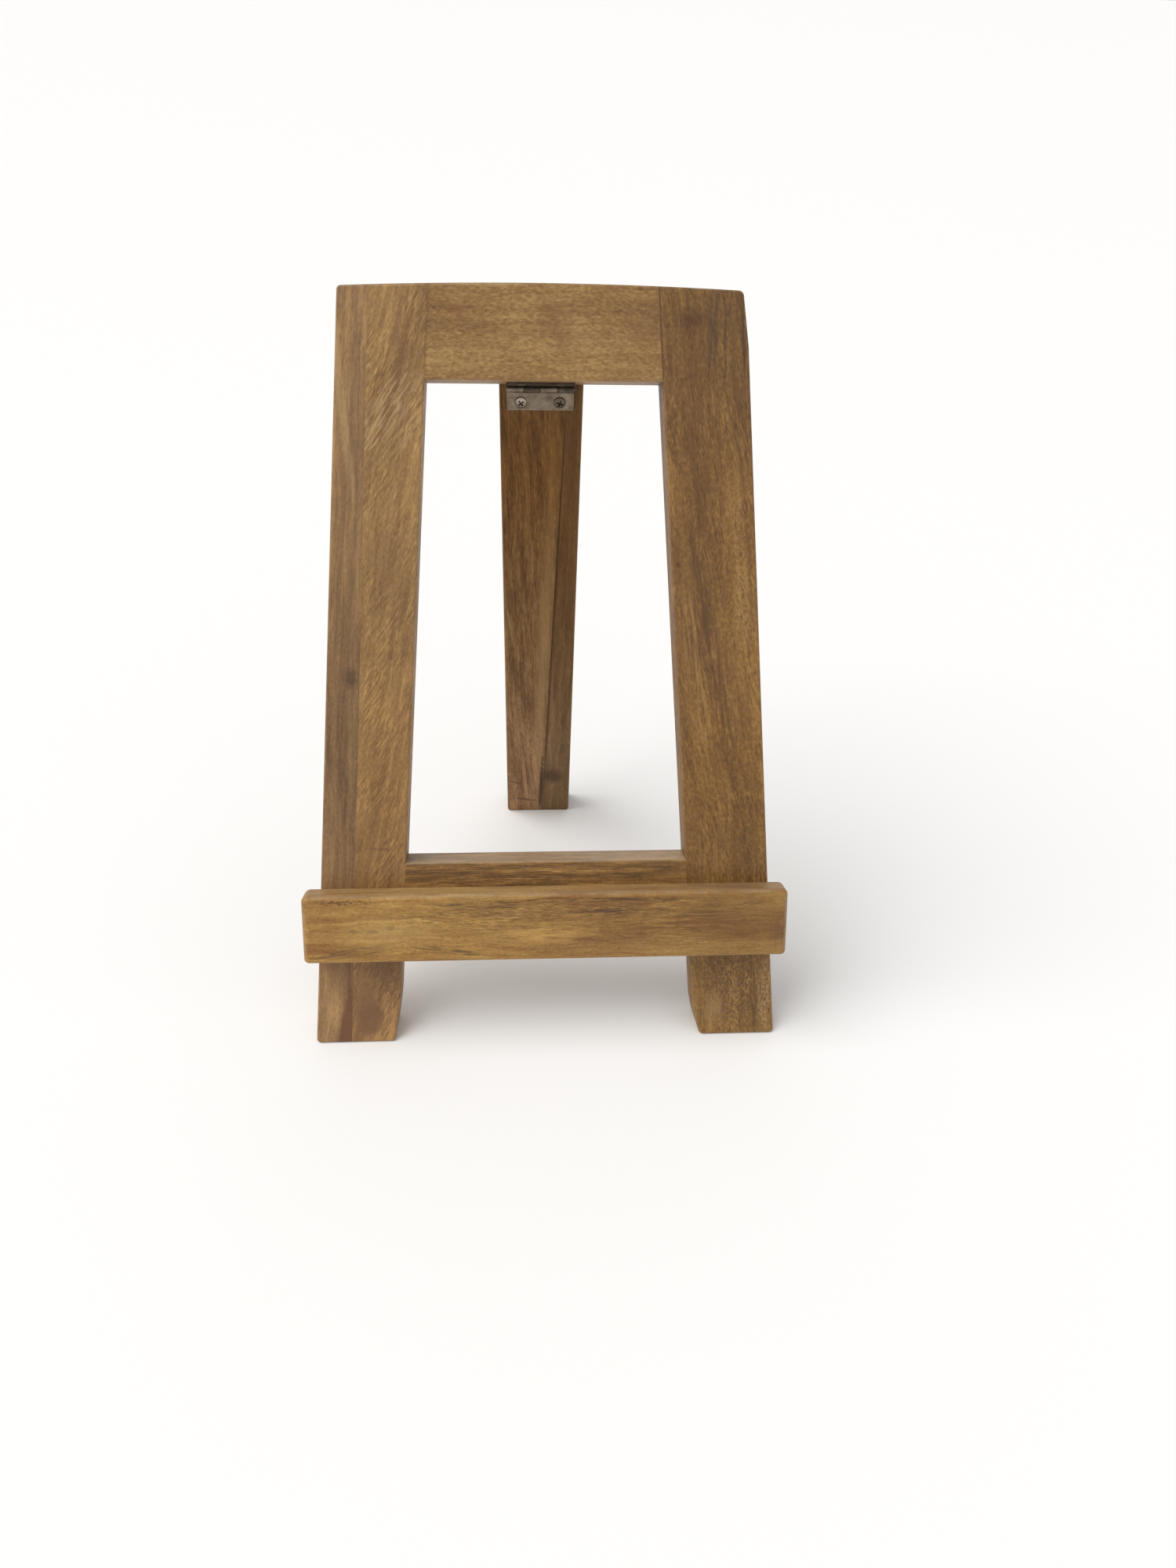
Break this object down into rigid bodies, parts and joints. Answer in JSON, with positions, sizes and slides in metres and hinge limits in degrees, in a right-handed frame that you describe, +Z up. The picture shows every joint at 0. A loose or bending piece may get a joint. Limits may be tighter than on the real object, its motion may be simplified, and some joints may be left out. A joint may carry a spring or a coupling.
{
  "type": "plate display stand",
  "caption": "Tapered wooden easel with a front ledge and a hinged rear leg that folds flat, for showing a plate, book or small picture on a table.",
  "frame": {"origin": "on the floor, at the middle of the bounding box's bottom face, with the leg open", "axes": "+X across the stand, to the right as seen from the front; +Y to the back, towards the leg; +Z up"},
  "size_m": [0.199, 0.182, 0.2821],
  "materials": {
    "wood_grey_brown": "mango wood, grey-brown, satin wax",
    "wood_golden": "mango wood, golden with diagonal figure, satin wax",
    "wood_brown": "mango wood, mid brown, satin wax",
    "wood_light_golden": "mango wood, light golden with short dark pores, satin wax",
    "wood_streaked": "mango wood with dark streaks along the rail, satin wax",
    "wood_honey": "mango wood, honey with dark flecks, satin wax",
    "wood_leg": "mango wood, brown, satin wax",
    "wood_leg_dark": "mango wood, dark brown, satin wax",
    "wood_dowel": "plain beech, unfinished",
    "steel_hinge": "tarnished rolled steel",
    "steel_screw": "zinc-plated steel"
  },
  "bodies": {
    "frame": {"left_stile_outer_strip": "wood_grey_brown", "left_stile_inner_strip": "wood_golden", "right_stile": "wood_brown", "top_rail": "wood_light_golden", "bottom_rail": "wood_streaked", "ledge": "wood_honey", "top_rail_dowels": "wood_dowel", "bottom_rail_dowels": "wood_dowel", "ledge_screws": "steel_screw", "hinge_rail_leaf": "steel_hinge", "rail_leaf_screws": "steel_screw", "hinge_pin": "steel_hinge"},
    "leg": {"leg_wide_strip": "wood_leg", "leg_narrow_strip": "wood_leg_dark", "hinge_leg_leaf": "steel_hinge", "leg_leaf_screws": "steel_screw"}
  },
  "joints": [
    {"name": "leg_fold", "type": "hinge", "parent": "frame", "child": "leg", "pos_m": [0, 0.01808, 0.24333], "axis": [-1, 0, 0], "range_deg": [0, 34]}
  ]
}
